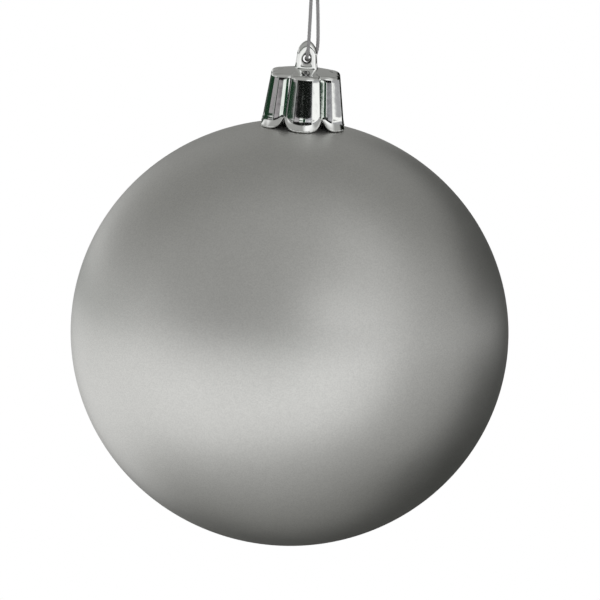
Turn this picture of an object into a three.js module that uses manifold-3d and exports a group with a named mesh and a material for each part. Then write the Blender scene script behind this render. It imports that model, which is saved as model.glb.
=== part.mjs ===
// Glass ball ornament: a blown ball with a neck, a moulded crown cap whose split sleeve grips the
// neck, and a cord loop threaded through the cap's eyelet and tied in a knot.
// Millimetres, +Z up. The origin is the top of the cord's loop, just under the knot, where the
// ornament hangs. -Y is the front, the side that the eyelet faces.
import * as THREE from "three";
import { mergeVertices } from "three/addons/utils/BufferGeometryUtils.js";
import Module from "manifold-3d";

// Ball. Heights of the ball and the cap are counted from the ball's centre.
const BALL_RADIUS = 40;
const BALL_HALF_HEIGHT = 38.95; // slightly flat, as a blown ball is
const GLASS = 0.7; // wall thickness
const NECK_RADIUS = 5;
const NECK_TOP = 45;
const NECK_FILLET = 1.2;

// Cap
const LOBES = 6;
const LOBE_ROUND = 3.15; // radius of each lobe's own arc,
const LOBE_OUT = 4.1; // whose centre stands this far out from the axis
const DOME_TOP = 49;
const DOME_RADIUS = 5.95;
const DOME_EDGE = 48.35;
const WALL_TOP = [6.82, 47.6]; // radius and height of a lobe's crest under the shoulder
const WALL_FOOT = [7.8, 40.6]; // and where the petals start to flare
const PETAL_RADIUS = 8.2;
const PETAL_TIP = 38.5;
const PETAL_LIFT = 2.3; // how far the edge rises between two petals
const PETAL_SQUARENESS = 4; // 2 is a round petal, and more gives a broader one
const SLEEVE_RADIUS = 3.95;
const SLEEVE_BORE = 3.1;
const SLEEVE_TIP = 35.8;
const BARB_RADIUS = 4.1;
const SLIT_WIDTH = 1;
const SLIT_TOP = 43.5;

// Eyelet, a flat-sided pointed arch in one with the cap
const EYELET_TOP = 54.05;
const EYELET_HALF_WIDTH = 1.95;
const EYELET_DEPTH = 1.9;
const EYELET_ROUND = 0.35; // rounding of its edges and of the hole's mouths
const HOLE_HEIGHT = 50.7;
const HOLE_RADIUS = 0.7;

// Cord
const CORD_DIAMETER = 0.65;
const BIGHT_HEIGHT = 50.85; // the cord's centre in the eyelet, which the ornament swings about
const LOOP_LENGTH = 21; // from the top of the loop down to the cord's centre in the eyelet
const KNOT_GAP = 0.3;
const KNOT_HEIGHT = 2.8;
const KNOT_RADIUS = 1.15;
const BALL_CENTRE = -(LOOP_LENGTH + BIGHT_HEIGHT); // height of the ball's centre in the part's frame

// The cord's centreline: down the front strand, back through the eyelet, up the rear strand.
const CORD_ROUTE = [
  [-0.2, -0.28, 0],
  [-0.05, -0.55, -4],
  [0.08, -0.9, -9],
  [0.15, -1.2, -13.5],
  [0.17, -1.4, -17],
  [0.17, -1.44, -18.6],
  [0.14, -1.42, -19.5],
  [0.08, -1.28, -20.15],
  [0.02, -0.95, -20.65],
  [0, -0.5, -20.93],
  [0, 0, -21],
  [0, 0.5, -21.05],
  [0.02, 0.95, -21.2],
  [0.17, 1.35, -21.38],
  [0.5, 1.65, -21.47],
  [0.95, 1.85, -21.33],
  [1.35, 1.93, -20.95],
  [1.62, 1.93, -20.35],
  [1.78, 1.88, -19.5],
  [1.82, 1.77, -18.2],
  [1.74, 1.6, -16.5],
  [1.5, 1.3, -13],
  [1.2, 1, -9.5],
  [0.75, 0.62, -4.8],
  [0.2, 0.28, 0],
];
// The two cut ends above the knot
const TAILS = [
  [
    [-0.33, -0.1, 2.2],
    [-0.5, -0.25, 3.9],
    [-1, -0.4, 5.9],
    [-1.7, -0.3, 7.8],
  ],
  [
    [0.33, 0.1, 2.2],
    [0.45, 0.2, 3.9],
    [0.8, 0.5, 5.6],
    [1.1, 0.95, 7.2],
  ],
];

// Facets
const BALL_FACETS = 48;
const FACETS_PER_LOBE = 10;
const SMALL_FACETS = 32;
const CORD_SIDES = 8;

const wasm = await Module();
wasm.setup();

function solid(geometry) {
  const bare = geometry.clone();
  bare.deleteAttribute("normal");
  bare.deleteAttribute("uv");
  const merged = mergeVertices(bare, 1e-5);
  return new wasm.Manifold(
    new wasm.Mesh({
      numProp: 3,
      vertProperties: merged.attributes.position.array,
      triVerts: new Uint32Array(merged.index.array),
    }),
  );
}

function geometryOf(manifold) {
  const mesh = manifold.getMesh();
  const geometry = new THREE.BufferGeometry();
  geometry.setAttribute("position", new THREE.BufferAttribute(mesh.vertProperties, 3));
  geometry.setIndex(new THREE.BufferAttribute(mesh.triVerts, 1));
  geometry.computeVertexNormals();
  return geometry;
}

// One outline from stretches that each start where the last one ended.
function joined(...stretches) {
  const points = stretches.flat();
  return points.filter((p, i) => i === 0 || p.distanceTo(points[i - 1]) > 1e-6);
}

const at = (radius, height) => new THREE.Vector2(radius, height);

function bend(from, corner, to, steps) {
  return new THREE.QuadraticBezierCurve(from, corner, to).getPoints(steps);
}

function arc(radius, height, width, tall, start, end, steps) {
  return new THREE.EllipseCurve(radius, height, width, tall, start, end, end < start).getPoints(
    steps,
  );
}

// A lathe about +Z. Its outline runs up the outside, and its first facet edge faces the front.
function turned(outline, facets) {
  return new THREE.LatheGeometry(outline, facets).rotateX(Math.PI / 2);
}

function tube(points, steps) {
  const section = new THREE.Shape(
    Array.from({ length: CORD_SIDES }, (_, i) => {
      const angle = (2 * Math.PI * i) / CORD_SIDES;
      return at((Math.cos(angle) * CORD_DIAMETER) / 2, (Math.sin(angle) * CORD_DIAMETER) / 2);
    }),
  );
  const extrudePath = new THREE.CatmullRomCurve3(points.map((p) => new THREE.Vector3(...p)));
  return new THREE.ExtrudeGeometry(section, { steps, extrudePath, bevelEnabled: false });
}

function ballGeometry() {
  const wallAt = (width, radius) => Math.acos(radius / width);
  const shell = (inset, steps) => {
    const width = BALL_RADIUS - inset;
    const tall = BALL_HALF_HEIGHT - inset;
    const neck = NECK_RADIUS - inset;
    const top = wallAt(width, neck + NECK_FILLET);
    const joint = tall * Math.sin(wallAt(width, neck));
    const round = arc(0, 0, width, tall, -Math.PI / 2, top, steps);
    const fillet = bend(round.at(-1), at(neck, joint), at(neck, joint + NECK_FILLET), 4);
    return joined(round, fillet);
  };
  const lip = arc(NECK_RADIUS - GLASS / 2, NECK_TOP - GLASS / 2, GLASS / 2, GLASS / 2, 0, Math.PI, 6);
  return turned(joined(shell(0, 30), lip, shell(GLASS, 24).reverse()), BALL_FACETS);
}

// Turns a round lathe into lobes and petals: the radius shrinks towards the valleys between the
// lobes' arcs, and the bottom edge rises there.
function flute(geometry) {
  const position = geometry.attributes.position;
  const lobeAngle = (2 * Math.PI) / LOBES;
  const sunkAt = (angle) => {
    const across = LOBE_OUT * Math.sin(angle);
    const reach = LOBE_OUT * Math.cos(angle) + Math.sqrt(LOBE_ROUND ** 2 - across ** 2);
    return LOBE_OUT + LOBE_ROUND - reach;
  };
  for (let i = 0; i < position.count; i++) {
    const x = position.getX(i);
    const y = position.getY(i);
    const z = position.getZ(i);
    const radius = Math.hypot(x, y);
    const turns = Math.atan2(x, -y) / lobeAngle;
    const fromCrest = Math.abs(turns - Math.round(turns));
    const onWall = THREE.MathUtils.smoothstep(radius, 0.5 * DOME_RADIUS, WALL_TOP[0]);
    const scale = radius > 0 ? 1 - (sunkAt(fromCrest * lobeAngle) * onWall) / radius : 1;
    const nearEdge = THREE.MathUtils.clamp((WALL_FOOT[1] - z) / (WALL_FOOT[1] - PETAL_TIP), 0, 1);
    const lift = PETAL_LIFT * (2 * fromCrest) ** PETAL_SQUARENESS;
    position.setXYZ(i, x * scale, y * scale, z + lift * nearEdge);
  }
  return geometry;
}

function eyeletSolid() {
  const half = EYELET_HALF_WIDTH;
  const outline = new THREE.Shape();
  outline.moveTo(-half, DOME_EDGE);
  outline.lineTo(half, DOME_EDGE);
  outline.lineTo(0.9 * half, HOLE_HEIGHT + HOLE_RADIUS);
  outline.bezierCurveTo(
    0.86 * half, EYELET_TOP - 1.3,
    0.55 * half, EYELET_TOP - 0.45,
    0.22 * half, EYELET_TOP - 0.06,
  );
  outline.quadraticCurveTo(0, EYELET_TOP + 0.05, -0.22 * half, EYELET_TOP - 0.06);
  outline.bezierCurveTo(
    -0.55 * half, EYELET_TOP - 0.45,
    -0.86 * half, EYELET_TOP - 1.3,
    -0.9 * half, HOLE_HEIGHT + HOLE_RADIUS,
  );
  outline.closePath();
  outline.holes.push(new THREE.Path().absarc(0, HOLE_HEIGHT, HOLE_RADIUS, 0, 2 * Math.PI));
  const slab = new THREE.ExtrudeGeometry(outline, {
    depth: EYELET_DEPTH - 2 * EYELET_ROUND,
    bevelThickness: EYELET_ROUND,
    bevelSize: EYELET_ROUND,
    bevelOffset: -EYELET_ROUND,
    bevelSegments: 3,
    curveSegments: 10,
  });
  return solid(slab.translate(0, 0, EYELET_ROUND - EYELET_DEPTH / 2).rotateX(Math.PI / 2));
}

function sleeveSolid() {
  const root = DOME_EDGE - 0.3;
  const wall = [
    at(SLEEVE_BORE, root),
    at(SLEEVE_BORE, SLEEVE_TIP),
    at(SLEEVE_RADIUS - 0.25, SLEEVE_TIP),
    at(BARB_RADIUS, SLEEVE_TIP + 0.7),
    at(BARB_RADIUS, SLEEVE_TIP + 1.1),
    at(SLEEVE_RADIUS, SLEEVE_TIP + 1.5),
    at(SLEEVE_RADIUS, root),
    at(SLEEVE_BORE, root),
  ];
  const height = SLIT_TOP - SLEEVE_TIP + 1;
  const slit = new THREE.BoxGeometry(4 * SLEEVE_RADIUS, SLIT_WIDTH, height);
  slit.translate(0, 0, SLIT_TOP - height / 2);
  const along = solid(slit);
  const across = solid(slit.rotateZ(Math.PI / 2));
  return solid(turned(wall, SMALL_FACETS)).subtract(along).subtract(across);
}

function capGeometry() {
  const wallTop = at(...WALL_TOP);
  const wallFoot = at(...WALL_FOOT);
  const rim = at(PETAL_RADIUS, PETAL_TIP);
  const outside = joined(
    [at(0, PETAL_TIP - 0.08), at(PETAL_RADIUS - 0.2, PETAL_TIP - 0.08)],
    [rim],
    bend(rim, at(WALL_FOOT[0] + 0.1, WALL_FOOT[1] - 1.1), wallFoot, 4),
    new THREE.LineCurve(wallFoot, wallTop).getPoints(3),
    bend(wallTop, at(WALL_TOP[0] - 0.1, DOME_EDGE - 0.05), at(DOME_RADIUS, DOME_EDGE), 5),
    bend(at(DOME_RADIUS, DOME_EDGE), at(DOME_RADIUS / 2, DOME_TOP), at(0, DOME_TOP), 4),
  );
  const inside = [
    at(0, PETAL_TIP - 0.3),
    at(7.55, PETAL_TIP - 0.3),
    at(6.05, 40.2),
    at(5.9, 42),
    at(5.45, NECK_TOP + 0.4),
    at(4.6, 47.5),
    at(0, 47.8),
  ];
  const crown = solid(flute(turned(outside, LOBES * FACETS_PER_LOBE)));
  const hollow = solid(turned(inside, SMALL_FACETS));
  return geometryOf(crown.subtract(hollow).add(sleeveSolid()).add(eyeletSolid()));
}

function knotGeometry() {
  const barrel = joined(
    [at(0, 0)],
    arc(0.35, 0.8, KNOT_RADIUS - 0.35, 0.8, -Math.PI / 2, 0, 4),
    arc(0.35, KNOT_HEIGHT - 0.8, KNOT_RADIUS - 0.35, 0.8, 0, Math.PI / 2, 4),
    [at(0, KNOT_HEIGHT)],
  );
  const knot = solid(turned(barrel, 16).translate(0, 0, KNOT_GAP));
  return geometryOf(TAILS.reduce((whole, tail) => whole.add(solid(tube(tail, 6))), knot));
}

function piece(name, geometry, color, roughness, metalness) {
  const material = new THREE.MeshStandardMaterial({ color, roughness, metalness });
  const mesh = new THREE.Mesh(geometry, material);
  mesh.name = name;
  return mesh;
}

const ornament = new THREE.Group();
ornament.add(piece("cord_knot", knotGeometry(), 0x8b898c, 0.5, 0.6));
ornament.add(piece("hanging_cord", tube(CORD_ROUTE, 80), 0x8b898c, 0.5, 0.6));
const hung = new THREE.Group();
hung.position.z = BALL_CENTRE;
hung.add(piece("crown_cap", capGeometry(), 0xc9cccb, 0.12, 1));
hung.add(piece("glass_ball", ballGeometry(), 0x8c8d89, 0.42, 0.7));
ornament.add(hung);

export default ornament;
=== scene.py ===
"""A glass ball ornament: a satin silvered ball, a bright crown cap with an eyelet, and a knotted cord."""

import math

import bmesh
import bpy
from mathutils import Matrix, Vector


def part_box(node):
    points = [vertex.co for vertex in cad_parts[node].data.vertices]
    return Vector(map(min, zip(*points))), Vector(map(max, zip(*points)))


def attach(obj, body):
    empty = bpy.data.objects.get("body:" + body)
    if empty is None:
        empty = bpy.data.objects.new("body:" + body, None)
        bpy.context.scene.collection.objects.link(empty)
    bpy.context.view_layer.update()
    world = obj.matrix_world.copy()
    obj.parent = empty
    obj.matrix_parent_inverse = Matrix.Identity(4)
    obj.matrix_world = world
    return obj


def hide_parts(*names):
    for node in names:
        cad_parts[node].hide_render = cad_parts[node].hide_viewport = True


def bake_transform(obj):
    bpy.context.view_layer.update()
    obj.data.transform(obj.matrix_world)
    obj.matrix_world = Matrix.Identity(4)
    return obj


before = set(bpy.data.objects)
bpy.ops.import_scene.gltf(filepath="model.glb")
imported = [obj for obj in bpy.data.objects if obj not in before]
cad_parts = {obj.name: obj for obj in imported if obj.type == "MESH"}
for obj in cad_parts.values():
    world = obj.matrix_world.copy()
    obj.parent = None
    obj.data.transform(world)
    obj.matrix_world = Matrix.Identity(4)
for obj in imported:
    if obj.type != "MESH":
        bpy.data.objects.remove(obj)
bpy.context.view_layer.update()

MM = 0.001

# Ball
BALL_RADIUS = 40 * MM
BALL_HALF_HEIGHT = 38.95 * MM
GLASS = 0.7 * MM
NECK_RADIUS = 5 * MM
NECK_TOP = 45 * MM
NECK_FILLET = 1.2 * MM
BALL_SIDES = 192
BALL_CENTRE = Vector((0, 0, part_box("glass_ball")[0].z + BALL_HALF_HEIGHT))

# Crown cap, with heights counted from the ball's centre
LOBES = 6
LOBE_ROUND = 3.15 * MM  # radius of each lobe's own arc
LOBE_OUT = 4.1 * MM  # how far out from the axis that arc's centre stands
DOME_TOP = 49 * MM
DOME_EDGE = (5.95 * MM, 48.35 * MM)
WALL_TOP = (6.82 * MM, 47.6 * MM)
WALL_FOOT = (7.8 * MM, 40.6 * MM)
PETAL_RIM = (8.2 * MM, 38.5 * MM)
PETAL_LIFT = 2.3 * MM
PETAL_SQUARENESS = 4.0
PETAL_FLARE = 0.1 * MM  # how far the curve of a petal is drawn out past the wall's foot
PETAL_FLARE_DROP = 1.1 * MM
CAP_WALL = 0.5 * MM
DOME_WALL = 0.9 * MM
CEILING_EDGE = (4.9 * MM, 47.3 * MM)
CROWN_CREASE = 32  # degrees past which an edge stays sharp
SLEEVE_CREASE = 30
SLEEVE_RADIUS = 3.95 * MM
SLEEVE_BORE = 3.1 * MM
SLEEVE_TIP = 35.8 * MM
CROSSED_SLITS = 2  # each cuts the sleeve on both sides
SLIT_WIDTH = 1 * MM
SLIT_TOP = 43.5 * MM
BARB = 0.15 * MM  # how far the sleeve's barb stands out

# Eyelet
EYELET_DEPTH = 1.9 * MM
HOLE_HEIGHT = 50.7 * MM
HOLE_RADIUS = 0.7 * MM
BORE_SHADE_MARGIN = 0.16 * MM  # round the hole's wall, where the hole is darkened with painted shade
# Half its outline, from the foot up to the tip: (half width, height)
EYELET_OUTLINE = [
    (2.35, 48.0),
    (2.1, 48.9),
    (1.95, 49.8),
    (1.86, 50.9),
    (1.78, 51.9),
    (1.5, 52.8),
    (0.95, 53.55),
    (0.4, 53.95),
    (0.0, 54.05),
]

# Cord
CORD_DIAMETER = 0.65 * MM
CORD_STEP = 0.1 * MM
CORD_SIDES = 24
PLIES = 3
PLY_PITCH = 1.8 * MM  # length of cord in which a ply goes once round
PLY_SHARE = 0.72  # radius of a ply as a share of the cord's
KNOT_BOTTOM = 0.3 * MM
KNOT_TOP = 3.1 * MM
KNOT_RADIUS = 1.15 * MM
KNOT_TURNS = 4
KNOT_SLANT = 0.22 * MM
# Down the front strand, back through the eyelet and up the rear strand, in millimetres
CORD_ROUTE = [
    (-0.2, -0.28, 0),
    (-0.05, -0.55, -4),
    (0.08, -0.9, -9),
    (0.15, -1.2, -13.5),
    (0.17, -1.4, -17),
    (0.17, -1.44, -18.6),
    (0.14, -1.42, -19.5),
    (0.08, -1.28, -20.15),
    (0.02, -0.95, -20.65),
    (0, -0.5, -20.93),
    (0, 0, -21),
    (-0.06, 0.5, -21.1),
    (-0.1, 0.95, -21.3),
    (-0.03, 1.37, -21.56),
    (0.32, 1.7, -21.7),
    (0.85, 1.88, -21.53),
    (1.32, 1.94, -21.05),
    (1.62, 1.93, -20.35),
    (1.78, 1.88, -19.5),
    (1.82, 1.77, -18.2),
    (1.74, 1.6, -16.5),
    (1.5, 1.3, -13),
    (1.2, 1, -9.5),
    (0.75, 0.62, -4.8),
    (0.2, 0.28, 0),
]
FRONT_TAIL = [(-0.33, -0.1, 2.2), (-0.5, -0.25, 3.9), (-1, -0.4, 5.9), (-1.7, -0.3, 7.8)]
REAR_TAIL = [(0.33, 0.1, 2.2), (0.45, 0.2, 3.9), (0.8, 0.5, 5.6), (1.1, 0.95, 7.2)]

# View
VIEW_ELEVATION = math.radians(10)
VIEW_LEAN = math.radians(3.6)  # the ornament hangs this far out of upright in the view
FRAME_WIDTH = 109.6 * MM  # of what the camera takes in at the ball
BALL_LEFT = 1.9 * MM  # of the middle of the frame
BALL_BELOW = 5.93 * MM
LENS = 600.0  # long, in millimetres, on a sensor of
SENSOR = 36.0


def make_camera():
    level_up = Vector((0, math.sin(VIEW_ELEVATION), math.cos(VIEW_ELEVATION)))
    back = Vector((0, -math.cos(VIEW_ELEVATION), math.sin(VIEW_ELEVATION)))
    level_right = Vector((1, 0, 0))
    right = level_right * math.cos(VIEW_LEAN) + level_up * math.sin(VIEW_LEAN)
    up = level_up * math.cos(VIEW_LEAN) - level_right * math.sin(VIEW_LEAN)
    target = BALL_CENTRE + right * BALL_LEFT + up * BALL_BELOW
    data = bpy.data.cameras.new("camera")
    data.lens = LENS
    data.sensor_width = SENSOR
    data.clip_start = 0.01
    data.clip_end = 60
    camera = bpy.data.objects.new("camera", data)
    turn = Matrix((right, up, back)).transposed()
    camera.matrix_world = Matrix.Translation(target + back * FRAME_WIDTH * LENS / SENSOR) @ turn.to_4x4()
    bpy.context.scene.collection.objects.link(camera)
    bpy.context.scene.camera = camera


# ---------------------------------------------------------------- mesh helpers


def add_object(name, mesh):
    piece = bpy.data.objects.new(name, mesh)
    bpy.context.scene.collection.objects.link(piece)
    return piece


def finish_mesh(mesh, material, sharp_angle=None):
    """Smooth shading, with edges past sharp_angle (degrees) kept sharp."""
    if material is not None:
        mesh.materials.clear()
        mesh.materials.append(material)
    mesh.shade_smooth()
    if sharp_angle is not None:
        mesh.set_sharp_from_angle(angle=math.radians(sharp_angle))
    mesh.update()


def outward(mesh):
    work = bmesh.new()
    work.from_mesh(mesh)
    bmesh.ops.remove_doubles(work, verts=work.verts, dist=1e-7)
    bmesh.ops.recalc_face_normals(work, faces=work.faces)
    if work.calc_volume(signed=True) < 0:
        bmesh.ops.reverse_faces(work, faces=work.faces)
    work.to_mesh(mesh)
    work.free()
    return mesh


def turned_mesh(name, outline, segments, centre=Vector((0, 0, 0)), closed=False):
    """A closed lathe about +Z. The outline is (radius, height) pairs that start and end on the axis,
    or go round and meet when closed is true. The first segment edge faces the front."""
    vertices, rings = [], []
    for radius, height in outline:
        if radius < 1e-9:
            rings.append([len(vertices)])
            vertices.append(centre + Vector((0, 0, height)))
            continue
        rings.append(range(len(vertices), len(vertices) + segments))
        for i in range(segments):
            angle = 2 * math.pi * i / segments
            vertices.append(centre + Vector((radius * math.sin(angle), -radius * math.cos(angle), height)))
    faces = []
    pairs = list(zip(rings, rings[1:]))
    if closed:
        pairs.append((rings[-1], rings[0]))
    for low, high in pairs:
        if len(low) == len(high) == 1:
            continue
        for i in range(segments):
            j = (i + 1) % segments
            if len(low) == 1:
                faces.append((low[0], high[j], high[i]))
            elif len(high) == 1:
                faces.append((low[i], low[j], high[0]))
            else:
                faces.append((low[i], low[j], high[j], high[i]))
    mesh = bpy.data.meshes.new(name)
    mesh.from_pydata([tuple(v) for v in vertices], [], faces)
    return outward(mesh)


def bend(start, corner, end, steps):
    """Points of a quadratic curve, without its first."""
    points = []
    for i in range(1, steps + 1):
        t = i / steps
        weights = ((1 - t) ** 2, 2 * t * (1 - t), t * t)
        points.append(tuple(sum(w * p[k] for w, p in zip(weights, (start, corner, end))) for k in (0, 1)))
    return points


def straight(start, end, steps):
    return [tuple(start[k] + (end[k] - start[k]) * i / steps for k in (0, 1)) for i in range(1, steps + 1)]


def ellipse(width, tall, start, end, steps):
    """Points of an ellipse about the ball's centre, from one angle above its equator to another."""
    angles = [start + (end - start) * i / steps for i in range(steps + 1)]
    points = [(width * math.cos(a), tall * math.sin(a)) for a in angles]
    return [(0.0, height) if radius < 1e-9 else (radius, height) for radius, height in points]


def half_round(centre, radius, start, end, steps):
    angles = [start + (end - start) * i / steps for i in range(1, steps + 1)]
    return [(centre[0] + radius * math.cos(a), centre[1] + radius * math.sin(a)) for a in angles]


def smooth_route(points, spacing):
    """Evenly spaced points of a centripetal Catmull-Rom curve through the given points."""
    ends = [points[0] * 2 - points[1], *points, points[-1] * 2 - points[-2]]
    dense, steps = [], 24
    for a, b, c, d in zip(ends, ends[1:], ends[2:], ends[3:]):
        knots = [0.0]
        for p, q in ((a, b), (b, c), (c, d)):
            knots.append(knots[-1] + max(1e-9, (q - p).length) ** 0.5)
        for i in range(steps):
            t = knots[1] + (knots[2] - knots[1]) * i / steps
            level = [a, b, c, d]
            for width in (1, 2, 3):
                level = [
                    (level[k] * (high - t) + level[k + 1] * (t - low)) / (high - low)
                    for k, (low, high) in enumerate(spans(knots, width))
                ]
            dense.append(level[0])
    dense.append(points[-1])
    return respaced(dense, spacing)


def spans(knots, width):
    """The knot spans that a blend of this width runs over in the Catmull-Rom pyramid."""
    if width == 1:
        return [(knots[0], knots[1]), (knots[1], knots[2]), (knots[2], knots[3])]
    if width == 2:
        return [(knots[0], knots[2]), (knots[1], knots[3])]
    return [(knots[1], knots[2])]


def respaced(points, spacing):
    lengths = [(q - p).length for p, q in zip(points, points[1:])]
    count = max(2, round(sum(lengths) / spacing))
    step = sum(lengths) / count
    placed, walked, k = [points[0]], 0.0, 0
    for i in range(1, count):
        while walked + lengths[k] < i * step:
            walked += lengths[k]
            k += 1
        placed.append(points[k].lerp(points[k + 1], (i * step - walked) / lengths[k]))
    placed.append(points[-1])
    return placed


def ply_reach(angle):
    """Distance from the cord's middle to the outside of its nearest ply."""
    ply_radius = CORD_DIAMETER / 2 * PLY_SHARE
    ply_centre = CORD_DIAMETER / 2 - ply_radius
    off = (angle + math.pi / PLIES) % (2 * math.pi / PLIES) - math.pi / PLIES
    reach = math.sqrt(max(0.0, ply_radius**2 - (ply_centre * math.sin(off)) ** 2))
    return ply_centre * math.cos(off) + reach


def twisted_cord(name, path):
    """A closed tube of twisted plies along the path. Its UVs go round it, and along it in millimetres."""
    sides = CORD_SIDES
    vertices, faces, lengths = [], [], []
    side = (path[1] - path[0]).orthogonal().normalized()
    walked = 0.0
    for i, point in enumerate(path):
        ahead = (path[min(i + 1, len(path) - 1)] - path[max(i - 1, 0)]).normalized()
        side = (side - ahead * side.dot(ahead)).normalized()
        across = ahead.cross(side)
        if i:
            walked += (point - path[i - 1]).length
        lengths.append(walked / MM)
        twist = 2 * math.pi * walked / PLY_PITCH
        for k in range(sides):
            angle = 2 * math.pi * k / sides
            turn = angle + twist
            way = side * math.cos(turn) + across * math.sin(turn)
            vertices.append(point + way * ply_reach(angle))
    rings = len(path)
    for i in range(rings - 1):
        for k in range(sides):
            j = (k + 1) % sides
            a, b = i * sides, (i + 1) * sides
            faces.append((a + k, a + j, b + j, b + k))
    faces.append(tuple(reversed(range(sides))))
    faces.append(tuple(range((rings - 1) * sides, rings * sides)))
    mesh = bpy.data.meshes.new(name)
    mesh.from_pydata([tuple(v) for v in vertices], [], faces)
    uv = mesh.uv_layers.new(name="cord_uv")
    for face in mesh.polygons:
        places = [mesh.loops[loop].vertex_index for loop in face.loop_indices]
        meets_seam = any(place % sides == sides - 1 for place in places)
        for loop, place in zip(face.loop_indices, places):
            k = place % sides
            if k == 0 and meets_seam:
                k = sides
            uv.data[loop].uv = (k / sides, lengths[place // sides])
    work = bmesh.new()
    work.from_mesh(mesh)
    if work.calc_volume(signed=True) < 0:
        bmesh.ops.reverse_faces(work, faces=work.faces)
    work.to_mesh(mesh)
    work.free()
    return mesh


# ---------------------------------------------------------------- node helpers

FLOAT = "NodeSocketFloat"


class Tree:
    """Short calls for adding and joining nodes."""

    def __init__(self, tree):
        self.tree = tree

    def add(self, kind, *inputs, **settings):
        node = self.tree.nodes.new(kind)
        for key, value in settings.items():
            setattr(node, key, value)
        for socket, value in zip(node.inputs, inputs):
            self.feed(socket, value)
        return node

    def feed(self, socket, value):
        if value is None:
            return
        if isinstance(value, bpy.types.NodeSocket):
            self.tree.links.new(value, socket)
        elif isinstance(value, bpy.types.Node):
            self.tree.links.new(value.outputs[0], socket)
        else:
            socket.default_value = value

    def named(self, kind, settings=None, **inputs):
        """A node whose inputs are given by name, with _ for a space."""
        node = self.tree.nodes.new(kind)
        for key, value in (settings or {}).items():
            setattr(node, key, value)
        for key, value in inputs.items():
            self.feed(node.inputs[key.replace("_", " ")], value)
        return node


def math_node(t, operation, *values):
    return t.add("ShaderNodeMath", *values, operation=operation).outputs[0]


def group_tree(name, inputs, outputs):
    """A shader node group with its sockets: (name, socket type, default) in, (name, socket type) out."""
    group = bpy.data.node_groups.new(name, "ShaderNodeTree")
    for label, kind, value in inputs:
        socket = group.interface.new_socket(label, in_out="INPUT", socket_type=kind)
        if value is not None:
            socket.default_value = value
    for label, kind in outputs:
        group.interface.new_socket(label, in_out="OUTPUT", socket_type=kind)
    tree = Tree(group)
    return group, tree, tree.add("NodeGroupInput"), tree.add("NodeGroupOutput")


def shape_tree(name, given, sizes, made):
    """A geometry nodes tree with its named sockets, and its sizes keyed by their sockets' identifiers."""
    tree = bpy.data.node_groups.new(name, "GeometryNodeTree")
    tree.interface.new_socket(given, in_out="INPUT", socket_type="NodeSocketGeometry")
    values = {}
    for label, value in sizes.items():
        kind = "NodeSocketInt" if isinstance(value, int) else FLOAT
        socket = tree.interface.new_socket(label, in_out="INPUT", socket_type=kind)
        socket.default_value = value
        values[socket.identifier] = value
    tree.interface.new_socket(made, in_out="OUTPUT", socket_type="NodeSocketGeometry")
    return tree, values


def end_tree(t, geometry, material):
    real = t.add("GeometryNodeRealizeInstances", geometry)
    t.add("NodeGroupOutput", t.named("GeometryNodeSetMaterial", Geometry=real, Material=material))


# ---------------------------------------------------------------- finishes


def fine_wear_group():
    """Hairline scratches in three directions, with patches of more and fewer of them."""
    group, t, given, out = group_tree(
        "hairlines",
        [("Spacing", FLOAT, 1.0), ("Amount", FLOAT, 0.5)],
        [("Mask", FLOAT)],
    )
    place = t.add("ShaderNodeTexCoord").outputs["Object"]
    total = 0.0
    for angle in (0.4, 1.5, 2.6):
        turned = t.named(
            "ShaderNodeMapping", Vector=place, Rotation=(angle, 0.7 * angle, angle), Scale=(1, 1, 0.06)
        )
        scale = math_node(t, "DIVIDE", 1000.0, given.outputs["Spacing"])
        noise = t.named("ShaderNodeTexNoise", Vector=turned, Scale=scale, Detail=2.0, Roughness=0.6)
        line = t.named("ShaderNodeMapRange", Value=noise.outputs[0], From_Min=0.62, From_Max=0.7)
        total = math_node(t, "MAXIMUM", total, line.outputs[0])
    patches = t.named("ShaderNodeTexNoise", Vector=place, Scale=260.0, Detail=3.0)
    kept = t.named("ShaderNodeMapRange", Value=patches.outputs[0], From_Min=0.42, From_Max=0.62)
    worn = math_node(t, "MULTIPLY", total, kept.outputs[0])
    t.feed(out.inputs["Mask"], math_node(t, "MULTIPLY", worn, given.outputs["Amount"]))
    return group


def dust_group():
    """Dust that settles on what faces up, in soft patches with specks."""
    group, t, given, out = group_tree("settled_dust", [("Amount", FLOAT, 0.5)], [("Mask", FLOAT)])
    place = t.add("ShaderNodeTexCoord").outputs["Object"]
    normal = t.add("ShaderNodeNewGeometry").outputs["Normal"]
    facing = t.add("ShaderNodeSeparateXYZ", normal).outputs["Z"]
    up = t.named("ShaderNodeMapRange", Value=facing, From_Min=0.55, From_Max=1.0)
    cloud = t.named("ShaderNodeTexNoise", Vector=place, Scale=140.0, Detail=5.0, Roughness=0.65)
    patch = t.named("ShaderNodeMapRange", Value=cloud.outputs[0], From_Min=0.35, From_Max=0.75)
    specks = t.named("ShaderNodeTexNoise", Vector=place, Scale=6500.0, Detail=1.0)
    speck = t.named("ShaderNodeMapRange", Value=specks.outputs[0], From_Min=0.55, From_Max=0.75)
    both = math_node(t, "MULTIPLY", patch.outputs[0], speck.outputs[0])
    lying = math_node(t, "MULTIPLY", both, up.outputs[0])
    t.feed(out.inputs["Mask"], math_node(t, "MULTIPLY", lying, given.outputs["Amount"]))
    return group


def mottle_group():
    """Soft cloudy variation about 1, for colour and roughness."""
    group, t, given, out = group_tree(
        "mottle", [("Size", FLOAT, 5.0), ("Amount", FLOAT, 0.1)], [("Factor", FLOAT)]
    )
    place = t.add("ShaderNodeTexCoord").outputs["Object"]
    scale = math_node(t, "DIVIDE", 1000.0, given.outputs["Size"])
    noise = t.named("ShaderNodeTexNoise", Vector=place, Scale=scale, Detail=4.0, Roughness=0.55)
    centred = math_node(t, "SUBTRACT", noise.outputs[0], 0.5)
    swing = math_node(t, "MULTIPLY", centred, given.outputs["Amount"])
    doubled = math_node(t, "MULTIPLY", swing, 2.0)
    t.feed(out.inputs["Factor"], math_node(t, "ADD", doubled, 1.0))
    return group


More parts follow.
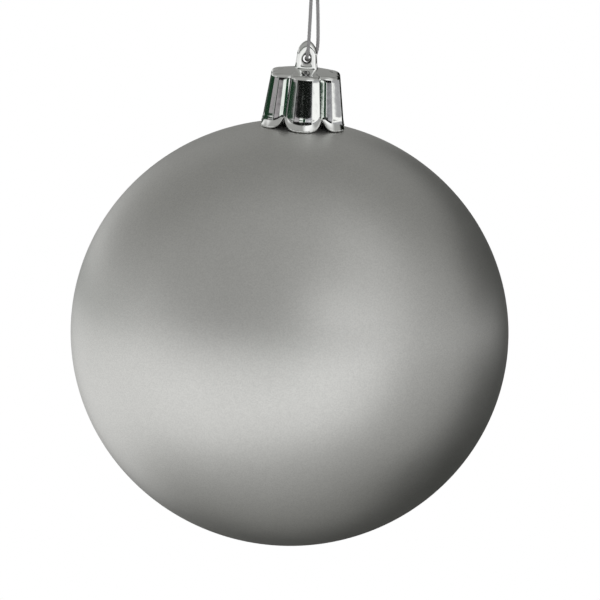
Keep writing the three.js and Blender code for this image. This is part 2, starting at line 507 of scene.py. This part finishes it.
def new_material(name):
    material = bpy.data.materials.new(name)
    material.use_nodes = True
    material.node_tree.nodes.clear()
    t = Tree(material.node_tree)
    shader = t.add("ShaderNodeBsdfPrincipled")
    t.add("ShaderNodeOutputMaterial", shader.outputs[0])
    return material, t, shader


def place_group(t, group, **values):
    node = t.add("ShaderNodeGroup", node_tree=group)
    for key, value in values.items():
        t.feed(node.inputs[key], value)
    return node.outputs[0]


def tinted(t, factor, colour):
    """The colour times a varying factor."""
    return t.add("ShaderNodeVectorMath", colour[:3], factor, operation="MULTIPLY").outputs[0]


def mixed(t, factor, low, high, kind="FLOAT"):
    node = t.tree.nodes.new("ShaderNodeMix")
    node.data_type = kind
    picks = [s for s in node.inputs if s.enabled]
    for socket, value in zip(picks, (factor, low, high)):
        t.feed(socket, value)
    return next(s for s in node.outputs if s.enabled)


def satin_silver(groups):
    """The ball's outside: a silvery lacquer full of fine flakes, rubbed matt."""
    material, t, shader = new_material("satin_silver_lacquer")
    place = t.add("ShaderNodeTexCoord").outputs["Object"]
    clouds = place_group(t, groups["mottle"], Size=9.0, Amount=0.035)
    flakes = t.named("ShaderNodeTexVoronoi", Vector=place, Scale=7000.0)
    flake_tone = t.add("ShaderNodeSeparateXYZ", flakes.outputs["Color"]).outputs["X"]
    flake = t.named("ShaderNodeMapRange", Value=flake_tone, To_Min=0.93, To_Max=1.07)
    tone = math_node(t, "MULTIPLY", clouds, flake.outputs[0])
    dust = place_group(t, groups["dust"], Amount=0.12)
    silver = tinted(t, tone, (0.8, 0.8, 0.785))
    t.feed(shader.inputs["Base Color"], mixed(t, dust, silver, (0.6, 0.6, 0.58, 1), "RGBA"))
    lines = place_group(t, groups["hairlines"], Spacing=0.8, Amount=0.05)
    rough = place_group(t, groups["mottle"], Size=14.0, Amount=0.05)
    satin = math_node(t, "MULTIPLY", rough, 0.43)
    worn = math_node(t, "SUBTRACT", satin, lines)
    t.feed(shader.inputs["Roughness"], math_node(t, "ADD", worn, dust))
    shader.inputs["Metallic"].default_value = 0.96
    ripple = t.named("ShaderNodeTexNoise", Vector=place, Scale=90.0, Detail=2.0)
    peel = t.named("ShaderNodeTexNoise", Vector=place, Scale=1800.0, Detail=3.0)
    height = math_node(t, "MULTIPLY_ADD", peel.outputs[0], 0.12, ripple.outputs[0])
    bump = t.named("ShaderNodeBump", Strength=0.25, Distance=0.00012, Height=height)
    t.feed(shader.inputs["Normal"], bump)
    return material


def silvered_inside(groups):
    """The ball's inside, where the silvering lies uncovered."""
    material, t, shader = new_material("silvered_inside")
    tone = place_group(t, groups["mottle"], Size=3.0, Amount=0.25)
    t.feed(shader.inputs["Base Color"], tinted(t, tone, (0.72, 0.7, 0.66)))
    rough = place_group(t, groups["mottle"], Size=1.5, Amount=0.3)
    t.feed(shader.inputs["Roughness"], math_node(t, "MULTIPLY", rough, 0.25))
    shader.inputs["Metallic"].default_value = 0.9
    return material


def bright_moulding(groups):
    """The cap: moulded plastic under a mirror-bright metal film that is thin on the rims and scuffed, with
    painted shade, near black and not metallic, inside the eyelet's hole.
    """
    material, t, shader = new_material("bright_metallised_moulding")
    place = t.add("ShaderNodeTexCoord").outputs["Object"]
    rim = t.add("ShaderNodeAttribute", attribute_name="rim").outputs["Fac"]
    lines = place_group(t, groups["hairlines"], Spacing=0.35, Amount=0.5)
    clouds = place_group(t, groups["mottle"], Size=1.2, Amount=0.06)
    chips = t.named("ShaderNodeTexNoise", Vector=place, Scale=3200.0, Detail=4.0, Roughness=0.7)
    chipped = math_node(t, "MULTIPLY_ADD", rim, 0.3, chips.outputs[0])
    bare_film_and_bore_shade = t.named("ShaderNodeMapRange", Value=chipped, From_Min=0.82, From_Max=0.9)
    film = tinted(t, clouds, (0.92, 0.93, 0.92))
    dust = place_group(t, groups["dust"], Amount=0.25)
    worn = mixed(t, bare_film_and_bore_shade.outputs[0], film, (0.42, 0.42, 0.4, 1), "RGBA")
    # Painted shade: near black and not metallic inside the eyelet's hole.
    bore_shade = t.add("ShaderNodeAttribute", attribute_name="bore_shade").outputs["Fac"]
    film_and_bore_shade = mixed(t, bore_shade, worn, (0.02, 0.024, 0.02, 1), "RGBA")
    t.feed(shader.inputs["Base Color"], mixed(t, dust, film_and_bore_shade, (0.55, 0.54, 0.51, 1), "RGBA"))
    t.feed(shader.inputs["Metallic"], math_node(t, "SUBTRACT", 1.0, bore_shade))
    smooth = mixed(t, bare_film_and_bore_shade.outputs[0], 0.05, 0.38)
    scuffed = math_node(t, "MULTIPLY_ADD", lines, 0.22, smooth)
    t.feed(shader.inputs["Roughness"], math_node(t, "MULTIPLY_ADD", dust, 0.5, scuffed))
    sink = t.named("ShaderNodeTexNoise", Vector=place, Scale=420.0, Detail=1.5)
    grain = t.named("ShaderNodeTexNoise", Vector=place, Scale=5200.0, Detail=2.0)
    height = math_node(t, "MULTIPLY_ADD", grain.outputs[0], 0.04, sink.outputs[0])
    bump = t.named("ShaderNodeBump", Strength=0.35, Distance=0.000014, Height=height)
    t.feed(shader.inputs["Normal"], bump)
    return material


def metallic_thread(groups):
    """The cord: grey thread twisted with fine bright filament."""
    material, t, shader = new_material("metallic_thread")
    uv = t.add("ShaderNodeUVMap", uv_map="cord_uv").outputs[0]
    parts = t.add("ShaderNodeSeparateXYZ", uv)
    # Filaments lie at a slant across each ply.
    along = math_node(t, "MULTIPLY", parts.outputs["Y"], 5.0)
    phase = math_node(t, "MULTIPLY_ADD", parts.outputs["X"], 27.0, along)
    turn = math_node(t, "MULTIPLY", phase, 2 * math.pi)
    wave = math_node(t, "SINE", turn)
    strand = t.named("ShaderNodeMapRange", Value=wave, From_Min=-1.0, From_Max=1.0)
    fuzz = t.named("ShaderNodeTexNoise", Vector=uv, Scale=18.0, Detail=3.0)
    tone = place_group(t, groups["mottle"], Size=0.5, Amount=0.12)
    glint = math_node(t, "MULTIPLY", strand.outputs[0], fuzz.outputs[0])
    grey = mixed(t, glint, (0.5, 0.49, 0.51, 1), (0.86, 0.85, 0.87, 1), "RGBA")
    t.feed(shader.inputs["Base Color"], t.add("ShaderNodeVectorMath", grey, tone, operation="MULTIPLY"))
    shader.inputs["Metallic"].default_value = 0.2
    rough = t.named("ShaderNodeMapRange", Value=fuzz.outputs[0], To_Min=0.4, To_Max=0.6)
    t.feed(shader.inputs["Roughness"], rough.outputs[0])
    shader.inputs["Sheen Weight"].default_value = 0.2
    bump = t.named("ShaderNodeBump", Strength=0.4, Distance=0.000012, Height=strand.outputs[0])
    t.feed(shader.inputs["Normal"], bump)
    return material


# ---------------------------------------------------------------- ball


def wall_outline(inset, steps):
    """The ball's wall and neck from the bottom pole up, this far inside the outer surface."""
    width = BALL_RADIUS - inset
    tall = BALL_HALF_HEIGHT - inset
    neck = NECK_RADIUS - inset
    top = math.acos((neck + NECK_FILLET) / width)
    joint = tall * math.sin(math.acos(neck / width))
    round_part = ellipse(width, tall, -math.pi / 2, top, steps)
    rise = (neck, joint + NECK_FILLET)
    fillet = bend(round_part[-1], (neck, joint), rise, 8)
    return round_part + fillet + straight(rise, (neck, NECK_TOP - GLASS / 2), 4)


def make_ball(outside, inside):
    outer = wall_outline(0, 120)
    inner = wall_outline(GLASS, 72)
    lip = half_round((NECK_RADIUS - GLASS / 2, NECK_TOP - GLASS / 2), GLASS / 2, 0, math.pi, 8)
    outline = outer + lip[:-1] + inner[::-1]
    mesh = turned_mesh("ball", outline, BALL_SIDES, BALL_CENTRE)
    finish_mesh(mesh, outside)
    mesh.materials.append(inside)
    neck_foot = BALL_HALF_HEIGHT * 0.95
    for face in mesh.polygons:
        spot = face.center - BALL_CENTRE
        if spot.z > neck_foot:
            spot.z = 0  # the neck's wall stands upright
        if face.normal.dot(spot) < 0:
            face.material_index = 1
    ball = add_object("blown_ball", mesh)
    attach(ball, "ball")
    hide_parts("glass_ball")


# ---------------------------------------------------------------- cap


def flare_of(foot):
    """The corner that draws a petal's curve out below the foot of the wall."""
    return (foot[0] + PETAL_FLARE, foot[1] - PETAL_FLARE_DROP)


def crown_outline():
    """The cap's plain section before it's fluted: up the outside, over the rim and down the inside."""
    lip = (PETAL_RIM[0] - CAP_WALL / 2, PETAL_RIM[1])
    inner_foot = (WALL_FOOT[0] - CAP_WALL, WALL_FOOT[1])
    inner_top = (WALL_TOP[0] - CAP_WALL, WALL_TOP[1] - 0.4 * MM)
    ceiling = (0.0, DOME_TOP - DOME_WALL)
    ceiling_corner = (CEILING_EDGE[0] - 0.5 * MM, ceiling[1])
    corner_above_wall = (CEILING_EDGE[0] + 0.8 * MM, CEILING_EDGE[1] - 0.1 * MM)
    outline = half_round(lip, CAP_WALL / 2, -math.pi, 0, 8)
    outline += bend(outline[-1], flare_of(WALL_FOOT), WALL_FOOT, 12)
    outline += straight(WALL_FOOT, WALL_TOP, 14)
    outline += bend(WALL_TOP, (WALL_TOP[0] - 0.1 * MM, DOME_EDGE[1] - 0.05 * MM), DOME_EDGE, 14)
    outline += bend(DOME_EDGE, (DOME_EDGE[0] / 2, DOME_TOP), (0.0, DOME_TOP), 14)
    outline += [ceiling, *bend(ceiling, ceiling_corner, CEILING_EDGE, 8)]
    outline += bend(CEILING_EDGE, corner_above_wall, inner_top, 6)
    outline += straight(inner_top, inner_foot, 10)
    outline += bend(inner_foot, flare_of(inner_foot), (lip[0] - CAP_WALL / 2, lip[1]), 10)
    return outline


def flute_tree(material):
    """Geometry nodes that turn a round shell into lobes with petals at the foot."""
    sizes = {
        "Lobes": float(LOBES),
        "Lobe Round": LOBE_ROUND,
        "Lobe Out": LOBE_OUT,
        "Centre Height": BALL_CENTRE.z,
        "Flat Radius": 0.5 * DOME_EDGE[0],
        "Wall Radius": WALL_TOP[0],
        "Foot Height": WALL_FOOT[1],
        "Tip Height": PETAL_RIM[1],
        "Petal Lift": PETAL_LIFT,
        "Petal Squareness": PETAL_SQUARENESS,
    }
    tree, values = shape_tree("flute", "Shell", sizes, "Fluted")
    t = Tree(tree)
    given = t.add("NodeGroupInput").outputs

    def calc(operation, *values):
        return math_node(t, operation, *values)

    place = t.add("ShaderNodeSeparateXYZ", t.add("GeometryNodeInputPosition")).outputs
    squares = [calc("MULTIPLY", side, side) for side in place[:2]]
    radius = calc("SQRT", calc("ADD", *squares))
    angle = calc("ARCTAN2", place[0], calc("MULTIPLY", place[1], -1.0))
    turns = calc("MULTIPLY", calc("DIVIDE", angle, 2 * math.pi), given["Lobes"])
    off = calc("ABSOLUTE", calc("SUBTRACT", turns, calc("ROUND", turns)))
    aside = calc("DIVIDE", calc("MULTIPLY", off, 2 * math.pi), given["Lobes"])
    across = calc("MULTIPLY", given["Lobe Out"], calc("SINE", aside))
    room = calc("SUBTRACT", calc("POWER", given["Lobe Round"], 2.0), calc("POWER", across, 2.0))
    reach = calc("ADD", calc("MULTIPLY", given["Lobe Out"], calc("COSINE", aside)), calc("SQRT", room))
    inside_crest = calc("SUBTRACT", calc("ADD", given["Lobe Out"], given["Lobe Round"]), reach)
    valley = calc("POWER", calc("MULTIPLY", off, 2.0), given["Petal Squareness"])
    on_wall = t.named(
        "ShaderNodeMapRange",
        {"interpolation_type": "SMOOTHSTEP"},
        Value=radius,
        From_Min=given["Flat Radius"],
        From_Max=given["Wall Radius"],
    )
    sunk = calc("MULTIPLY", inside_crest, on_wall.outputs[0])
    scale = calc("SUBTRACT", 1.0, calc("DIVIDE", sunk, calc("MAXIMUM", radius, 1e-6)))
    height = calc("SUBTRACT", place[2], given["Centre Height"])
    near_edge = t.named(
        "ShaderNodeMapRange", Value=height, From_Min=given["Foot Height"], From_Max=given["Tip Height"]
    )
    lift = calc("MULTIPLY", calc("MULTIPLY", valley, near_edge.outputs[0]), given["Petal Lift"])
    moved = t.add(
        "ShaderNodeCombineXYZ",
        calc("MULTIPLY", place[0], scale),
        calc("MULTIPLY", place[1], scale),
        calc("ADD", place[2], lift),
    )
    placed = t.named("GeometryNodeSetPosition", Geometry=given["Shell"], Position=moved)
    rim = calc("POWER", near_edge.outputs[0], 3.0)
    marked = t.add("GeometryNodeStoreNamedAttribute", data_type="FLOAT", domain="POINT")
    t.feed(marked.inputs["Geometry"], placed)
    t.feed(marked.inputs["Name"], "rim")
    t.feed(next(s for s in marked.inputs if s.name == "Value" and s.enabled), rim)
    end_tree(t, marked, material)
    return tree, values


def apply_nodes(piece, tree, values):
    """Runs a geometry nodes tree on the piece and keeps only its result."""
    modifier = piece.modifiers.new(tree.name, "NODES")
    modifier.node_group = tree
    for identifier, value in values.items():
        modifier[identifier] = value
    graph = bpy.context.evaluated_depsgraph_get()
    result = bpy.data.meshes.new_from_object(piece.evaluated_get(graph), depsgraph=graph)
    piece.modifiers.remove(modifier)
    piece.data = result


def make_crown(material):
    shell = turned_mesh("crown", crown_outline(), LOBES * 24, BALL_CENTRE)
    crown = add_object("crown", shell)
    apply_nodes(crown, *flute_tree(material))
    finish_mesh(crown.data, None, sharp_angle=CROWN_CREASE)
    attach(crown, "cap")
    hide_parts("crown_cap")


def arch_half():
    """Half of the arch's outline about the hole's centre, from the middle of its foot up to its tip."""
    half = [(width * MM, height * MM - HOLE_HEIGHT) for width, height in EYELET_OUTLINE]
    curve = [(0.0, half[0][1]), *straight((0.0, half[0][1]), half[0], 12)]
    for low, high in zip(half, half[1:]):
        curve += straight(low, high, 8)
    return curve


def arch_reach(curve, angle):
    """Distance from the hole's centre to the arch's outline, at this angle from straight up."""
    folded = abs(math.remainder(angle, 2 * math.pi))
    for low, high in zip(curve, curve[1:]):
        start = math.atan2(*low)
        end = math.atan2(*high)
        if end - 1e-9 <= folded <= start + 1e-9:
            share = (start - folded) / (start - end)
            return math.hypot(*(low[k] + (high[k] - low[k]) * share for k in (0, 1)))
    raise ValueError("the arch's outline doesn't reach round its hole")


def make_eyelet(material):
    """A rounded arch: a section that runs once round the hole and reaches out to the arch's outline."""
    around, section, power = 120, 32, 2.5
    curve = arch_half()
    reaches = [arch_reach(curve, 2 * math.pi * i / around) for i in range(around)]
    for _ in range(2):  # rounds the arch's corners
        reaches = [(reaches[i - 1] + 2 * reaches[i] + reaches[(i + 1) % around]) / 4 for i in range(around)]
    vertices, faces, bare_film_and_bore_shade = [], [], []
    centre = BALL_CENTRE + Vector((0, 0, HOLE_HEIGHT))
    for i in range(around):
        angle = 2 * math.pi * i / around
        outward_way = Vector((math.sin(angle), 0, math.cos(angle)))
        half = (reaches[i] - HOLE_RADIUS) / 2
        for k in range(section):
            spin = 2 * math.pi * k / section
            across = math.copysign(abs(math.cos(spin)) ** (2 / power), math.cos(spin))
            deep = math.copysign(abs(math.sin(spin)) ** (2 / power), math.sin(spin))
            distance = HOLE_RADIUS + half * (1 + across)
            vertices.append(centre + outward_way * distance + Vector((0, deep * EYELET_DEPTH / 2, 0)))
            # Painted shade: marks the hole's wall to be drawn near black.
            bare_film_and_bore_shade.append(min(1.0, max(0.0, (HOLE_RADIUS + BORE_SHADE_MARGIN - distance) / BORE_SHADE_MARGIN * 2)))
    for i in range(around):
        j = (i + 1) % around
        for k in range(section):
            m = (k + 1) % section
            faces.append((i * section + k, j * section + k, j * section + m, i * section + m))
    mesh = bpy.data.meshes.new("eyelet")
    mesh.from_pydata([tuple(v) for v in vertices], [], faces)
    mesh.attributes.new("bore_shade", "FLOAT", "POINT").data.foreach_set("value", bare_film_and_bore_shade)
    outward(mesh)
    finish_mesh(mesh, material)
    eyelet = add_object("eyelet", mesh)
    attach(eyelet, "cap")


def slit_tree(material):
    """Geometry nodes that cut crossed slits up from the sleeve's tip."""
    sizes = {
        "Slit Width": SLIT_WIDTH,
        "Slit Length": 3 * SLEEVE_RADIUS,
        "Slit Height": 2 * (SLIT_TOP - SLEEVE_TIP),
        "Tip Height": BALL_CENTRE.z + SLEEVE_TIP,
        "Slits": CROSSED_SLITS,
    }
    tree, values = shape_tree("sleeve_slits", "Sleeve", sizes, "Cut Sleeve")
    t = Tree(tree)
    given = t.add("NodeGroupInput").outputs
    size = t.add("ShaderNodeCombineXYZ", given["Slit Length"], given["Slit Width"], given["Slit Height"])
    cutter = t.named("GeometryNodeMeshCube", Size=size)
    spots = t.named("GeometryNodeMeshLine", {"mode": "OFFSET"}, Count=given["Slits"], Offset=(0, 0, 0))
    index = t.add("GeometryNodeInputIndex")
    step = math_node(t, "DIVIDE", math.pi, given["Slits"])
    turn = t.add("ShaderNodeCombineXYZ", 0.0, 0.0, math_node(t, "MULTIPLY", index, step))
    rotation = t.add("FunctionNodeEulerToRotation", turn)
    cutters = t.named("GeometryNodeInstanceOnPoints", Points=spots, Instance=cutter, Rotation=rotation)
    lowered = t.named(
        "GeometryNodeSetPosition",
        Geometry=t.add("GeometryNodeRealizeInstances", cutters),
        Offset=t.add("ShaderNodeCombineXYZ", 0.0, 0.0, given["Tip Height"]),
    )
    cut = t.add("GeometryNodeMeshBoolean", operation="DIFFERENCE", solver="EXACT")
    t.feed(cut.inputs["Mesh 1"], given["Sleeve"])
    t.feed(cut.inputs["Mesh 2"], lowered)
    end_tree(t, cut, material)
    return tree, values


def make_sleeve(material):
    """The split sleeve under the dome that springs into the ball's neck."""
    barb = SLEEVE_RADIUS + BARB
    root = DOME_EDGE[1] - 0.3 * MM
    outline = [
        (SLEEVE_BORE, root),
        (SLEEVE_BORE, SLEEVE_TIP),
        (SLEEVE_RADIUS - 0.25 * MM, SLEEVE_TIP),
        (barb, SLEEVE_TIP + 0.7 * MM),
        (barb, SLEEVE_TIP + 1.1 * MM),
        (SLEEVE_RADIUS, SLEEVE_TIP + 1.5 * MM),
        (SLEEVE_RADIUS, root),
    ]
    sleeve = add_object("split_sleeve", turned_mesh("sleeve", outline, 96, BALL_CENTRE, closed=True))
    apply_nodes(sleeve, *slit_tree(material))
    finish_mesh(outward(sleeve.data), None, sharp_angle=SLEEVE_CREASE)
    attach(sleeve, "cap")


# ---------------------------------------------------------------- cord


def in_metres(points):
    return [Vector(p) * MM for p in points]


def make_cord(material):
    """Both strands and both tails, as one length of cord that runs through the knot's middle."""
    knot = add_object("knot_wraps", knot_mesh())
    finish_mesh(knot.data, material)
    route = in_metres([*FRONT_TAIL[::-1], *CORD_ROUTE, *REAR_TAIL])
    path = smooth_route(route, CORD_STEP)
    cord = add_object("cord_loop", twisted_cord("cord", path))
    finish_mesh(cord.data, material)
    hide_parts("hanging_cord")
    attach(knot, "knot")
    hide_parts("cord_knot")
    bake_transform(cord)


def knot_mesh():
    """The knot's turns round the two strands: a short slanting coil with its ends tucked in."""
    steps = 28
    coil_radius = KNOT_RADIUS - CORD_DIAMETER / 2
    low = KNOT_BOTTOM + CORD_DIAMETER / 2
    high = KNOT_TOP - CORD_DIAMETER / 2
    points = [Vector((0.1 * MM, 0.15 * MM, low))]
    for i in range(KNOT_TURNS * steps + 1):
        share = i / (KNOT_TURNS * steps)
        angle = 2 * math.pi * KNOT_TURNS * share
        height = low + (high - low) * share + KNOT_SLANT * math.sin(angle)
        points.append(Vector((coil_radius * math.cos(angle), coil_radius * math.sin(angle), height)))
    points.append(Vector((0.1 * MM, -0.15 * MM, high)))
    return twisted_cord("knot", smooth_route(points, CORD_STEP))


# ---------------------------------------------------------------- studio

FLOOR_DROP = 1.25  # metres below the loop's top, far from the ornament
FLOOR_SIDE = 60.0

# Soft panels of light round the ornament. Each is (azimuth, elevation, half width, half height,
# softness, tilt) in degrees, seen from the ornament with 0 towards the camera and 90 to its right,
# and then its colour.
ROOM = (0.345, 0.345, 0.335)
PANELS = [
    # what the satin ball shows
    ((-35, -29, 66, 28, 9, 0), (0.87, 0.87, 0.86)),
    ((-122, -20, 42, 24, 9, 0), (0.83, 0.83, 0.82)),
    ((-146, -4, 24, 10, 5, 0), (0.83, 0.83, 0.82)),
    ((33, 5, 25, 25, 12, 14), (1.0, 1.0, 0.99)),
    ((58, 44, 14, 26, 12, 10), (0.58, 0.58, 0.57)),
    ((155, -66, 40, 20, 12, 0), (0.2, 0.2, 0.19)),
    ((153, -15, 42, 42, 9, 0), (0.004, 0.005, 0.003)),
    ((175, 64, 55, 20, 13, 0), (0.22, 0.22, 0.21)),
    # thin strips that only the bright cap shows sharply
    ((-2, 8.9, 55, 3.2, 0.5, 0), (0.006, 0.007, 0.006)),
    ((-36, 4.1, 16, 1.1, 0.2, 0), (0.36, 0.34, 0.35)),
    ((35, 4.1, 17, 1.1, 0.2, 0), (0.36, 0.36, 0.38)),
    ((-4, 2.7, 17, 1.4, 0.3, 0), (0.012, 0.045, 0.022)),
    ((8, 4.4, 7, 1.1, 0.3, 0), (0.012, 0.045, 0.022)),
    ((-10, 4.9, 10, 0.9, 0.3, 0), (0.9, 0.95, 0.9)),
    ((99, 1.4, 41, 2.5, 0.6, 6.6), (0.36, 0.36, 0.37)),
    ((99, -0.3, 41, 1.15, 0.3, 6.6), (1.0, 1.0, 0.98)),
    ((-101, 0.9, 42, 2.4, 0.8, -6.6), (0.012, 0.035, 0.018)),
    ((-158, -4.6, 20, 2, 0.6, -7.7), (0.05, 0.07, 0.055)),
    ((-78, 3.9, 17, 0.9, 0.2, -4.4), (0.36, 0.34, 0.35)),
    ((-61, 4.2, 3, 2.5, 0.6, 0), (0.3, 0.31, 0.3)),
    ((180, 14, 9, 28, 2, 0), (0.27, 0.27, 0.26)),
]


def lit_panel(t, way, light, placing, colour):
    azimuth, elevation, half_wide, half_tall, soft, tilt = (math.radians(v) for v in placing)
    turned = Matrix.Rotation(azimuth, 3, "Z")
    raised = Matrix.Rotation(-elevation, 3, "X")
    turn = turned @ raised @ Matrix.Rotation(tilt, 3, "Y")
    local = t.named("ShaderNodeMapping", Vector=way, Rotation=tuple(turn.inverted().to_euler()))
    x, y, z = t.add("ShaderNodeSeparateXYZ", local.outputs[0]).outputs
    ahead = math_node(t, "MULTIPLY", y, -1.0)
    aside = math_node(t, "ARCTAN2", x, ahead)
    above = math_node(t, "ARCSINE", z)
    shares = []
    for angle, half in ((aside, half_wide), (above, half_tall)):
        edge = t.named(
            "ShaderNodeMapRange",
            {"interpolation_type": "SMOOTHSTEP"},
            Value=math_node(t, "ABSOLUTE", angle),
            From_Min=half + soft,
            From_Max=max(0.0, half - soft),
        )
        shares.append(edge.outputs[0])
    share = math_node(t, "MULTIPLY", *shares)
    return mixed(t, share, light, (*colour, 1), "RGBA")


def make_studio():
    world = bpy.data.worlds.new("studio")
    bpy.context.scene.world = world
    world.use_nodes = True
    world.node_tree.nodes.clear()
    t = Tree(world.node_tree)
    way = t.add("ShaderNodeTexCoord").outputs["Generated"]
    light = t.add("ShaderNodeRGB").outputs[0]
    light.default_value = (*ROOM, 1)
    for placing, colour in PANELS:
        light = lit_panel(t, way, light, placing, colour)
    room = t.named("ShaderNodeBackground", Color=light, Strength=1.0)
    backdrop = t.named("ShaderNodeBackground", Color=(1, 1, 1, 1), Strength=1.0)
    seen = t.add("ShaderNodeLightPath").outputs["Is Camera Ray"]
    t.add("ShaderNodeOutputWorld", t.add("ShaderNodeMixShader", seen, room, backdrop))

    half = FLOOR_SIDE / 2
    corners = [(-half, -half), (half, -half), (half, half), (-half, half)]
    mesh = bpy.data.meshes.new("floor")
    mesh.from_pydata([(x, y, -FLOOR_DROP) for x, y in corners], [], [(0, 1, 2, 3)])
    floor = add_object("floor", mesh)
    material = bpy.data.materials.new("pale_floor")
    material.use_nodes = True
    material.node_tree.nodes.clear()
    t = Tree(material.node_tree)
    paint = t.named("ShaderNodeBsdfDiffuse", Color=(0.85, 0.85, 0.84, 1))
    glow = t.named("ShaderNodeEmission", Color=(1, 1, 1, 1), Strength=1.0)
    seen = t.add("ShaderNodeLightPath").outputs["Is Camera Ray"]
    above = t.add("ShaderNodeMixShader", seen, paint, glow)
    below = t.add("ShaderNodeNewGeometry").outputs["Backfacing"]
    clear = t.add("ShaderNodeBsdfTransparent")
    t.add("ShaderNodeOutputMaterial", t.add("ShaderNodeMixShader", below, above, clear))
    mesh.materials.append(material)
    floor.visible_glossy = False
    bpy.context.scene.view_settings.view_transform = "Standard"


make_camera()
shared = {"mottle": mottle_group(), "dust": dust_group(), "hairlines": fine_wear_group()}
make_cord(metallic_thread(shared))
make_ball(satin_silver(shared), silvered_inside(shared))
cap_material = bright_moulding(shared)
make_crown(cap_material)
make_eyelet(cap_material)
make_sleeve(cap_material)
make_studio()
